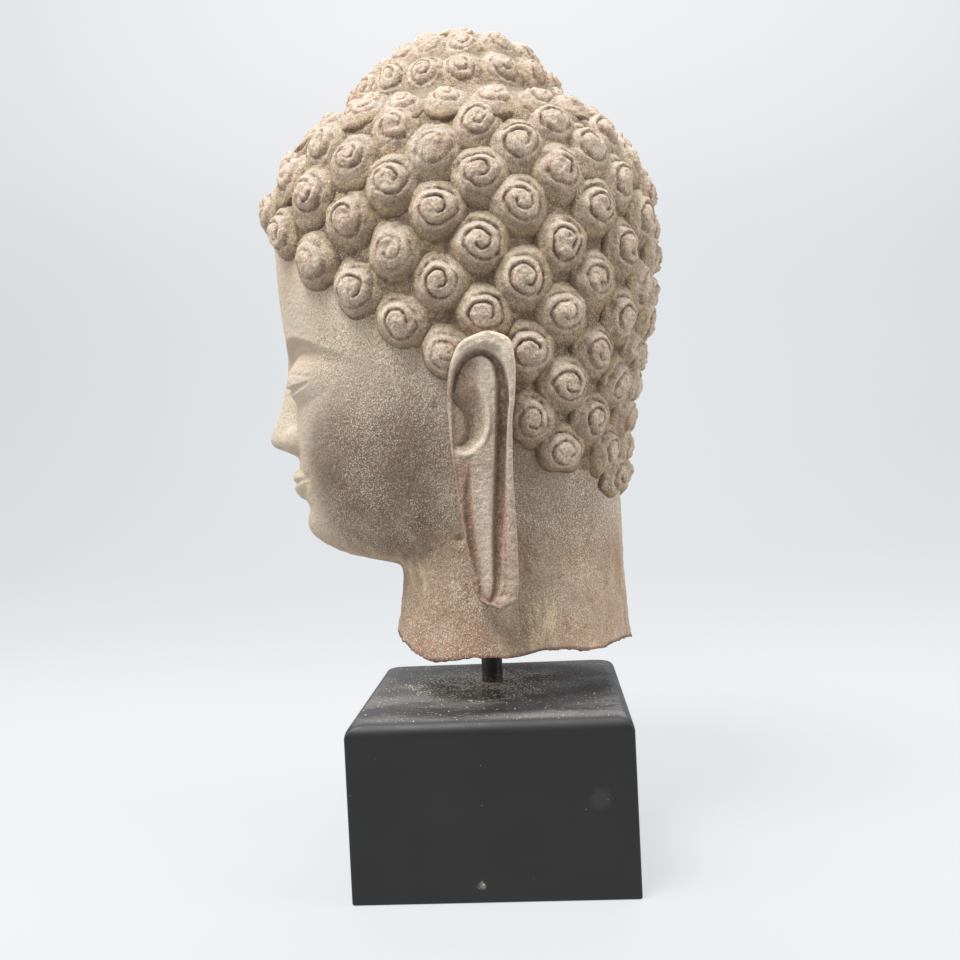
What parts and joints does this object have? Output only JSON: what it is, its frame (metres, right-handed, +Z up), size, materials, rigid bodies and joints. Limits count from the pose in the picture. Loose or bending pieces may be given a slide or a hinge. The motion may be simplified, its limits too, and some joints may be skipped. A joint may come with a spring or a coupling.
{
  "type": "stone buddha head on stand",
  "caption": "Carved stone Buddha head with snail-shell curls and long ear lobes, held above a black block plinth by a short round rod.",
  "frame": {"origin": "middle of the plinth's underside", "axes": "+Z up, -Y the way the face looks, +X the head's left side"},
  "size_m": [0.1888, 0.2385, 0.4829],
  "materials": {
    "carved_stone": "matte, weathered grey-brown with ochre speckle",
    "rod_metal": "black, satin",
    "plinth_black": "painted satin black"
  },
  "bodies": {
    "root": {"stone_head": "carved_stone", "mounting_rod": "rod_metal", "black_plinth": "plinth_black"}
  },
  "joints": []
}
